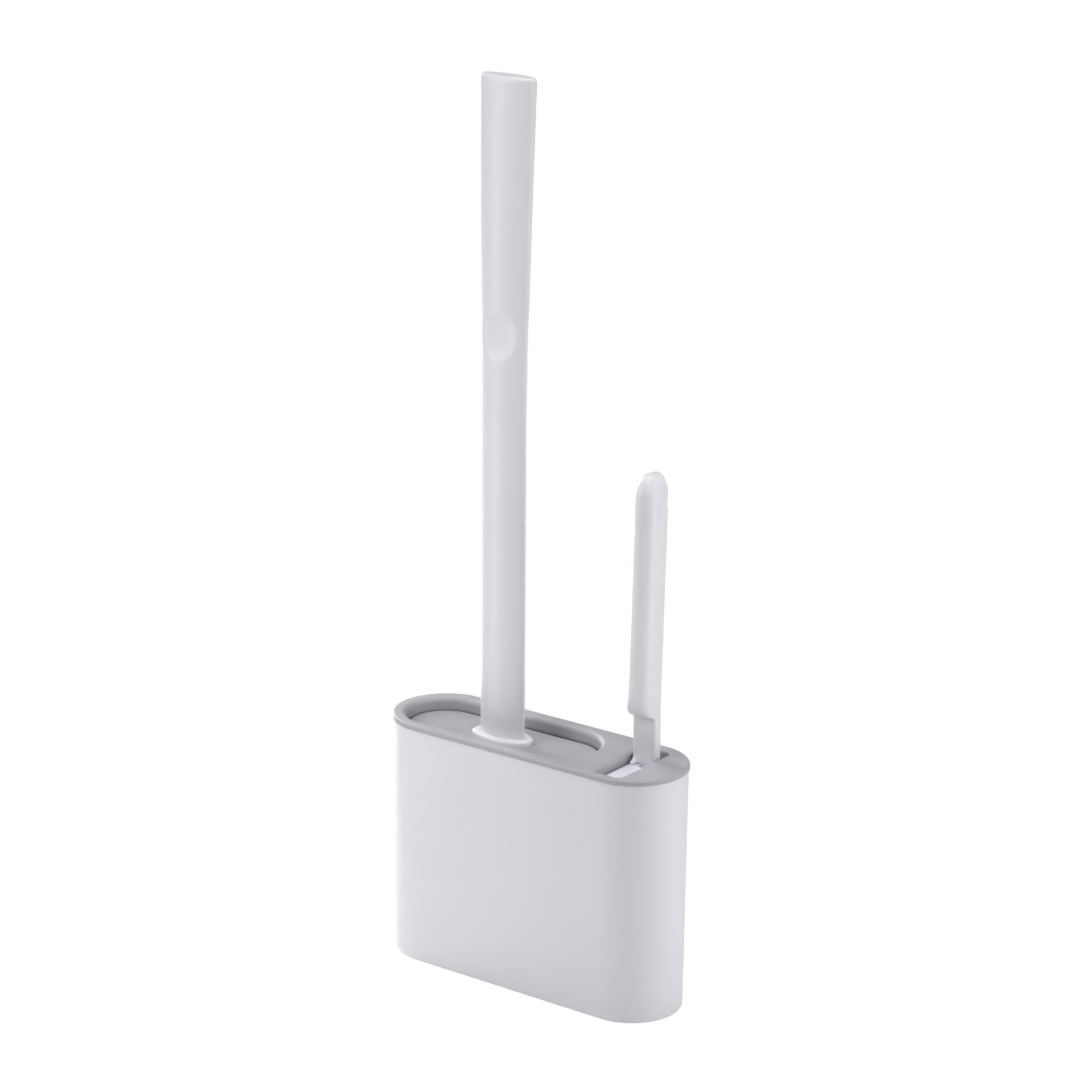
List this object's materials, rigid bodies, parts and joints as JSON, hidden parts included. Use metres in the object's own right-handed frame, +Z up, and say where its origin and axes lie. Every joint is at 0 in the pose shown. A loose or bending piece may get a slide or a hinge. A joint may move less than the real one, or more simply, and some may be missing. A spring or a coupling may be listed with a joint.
{
  "type": "toilet brush holder",
  "caption": "Slim stadium-shaped toilet brush holder with a flat-headed brush under its own lid and a small crevice brush in a slot.",
  "frame": {"origin": "centre of the holder's footprint, on the floor", "axes": "+Z up, +X along the holder towards the small brush, -Y is the front with the thumb rest"},
  "size_m": [0.16, 0.051, 0.425],
  "materials": {
    "shell_white": "satin moulded polypropylene, cool white",
    "handle_white": "satin-gloss moulded polypropylene, white",
    "collar_white": "satin-gloss moulded polypropylene, bright white",
    "block_white": "satin moulded polypropylene, bluish white",
    "core_white": "satin moulded polypropylene, white",
    "frame_grey": "satin moulded ABS, mid grey",
    "lid_grey": "fine matt moulded ABS, mid grey",
    "tray_grey": "satin moulded polypropylene, grey",
    "tpr_white": "matt thermoplastic rubber, pale grey",
    "nylon_white": "nylon filament, white",
    "rubber_grey": "matt thermoplastic rubber, grey"
  },
  "bodies": {
    "holder": {"holder_shell": "shell_white", "rubber_feet": "rubber_grey", "drip_tray": "tray_grey", "drain_rack": "tray_grey"},
    "frame": {"top_frame": "frame_grey", "brush_pocket": "frame_grey"},
    "main_brush": {"main_handle": "handle_white", "main_lid": "lid_grey", "handle_collar": "collar_white", "lid_clip": "collar_white", "head_core": "core_white", "head_cover": "tpr_white", "front_bristles": "tpr_white", "back_bristles": "tpr_white", "edge_bristles": "tpr_white"},
    "small_brush": {"small_handle": "handle_white", "small_block": "block_white", "small_bristles": "nylon_white"}
  },
  "joints": [
    {"name": "frame_lift", "type": "slide", "parent": "holder", "child": "frame", "axis": [0, 0, 1], "range_m": [0, 0.12]},
    {"name": "main_brush_lift", "type": "slide", "parent": "frame", "child": "main_brush", "axis": [0, 0, 1], "range_m": [0, 0.12]},
    {"name": "small_brush_lift", "type": "slide", "parent": "frame", "child": "small_brush", "axis": [0, 0, 1], "range_m": [0, 0.06]}
  ]
}
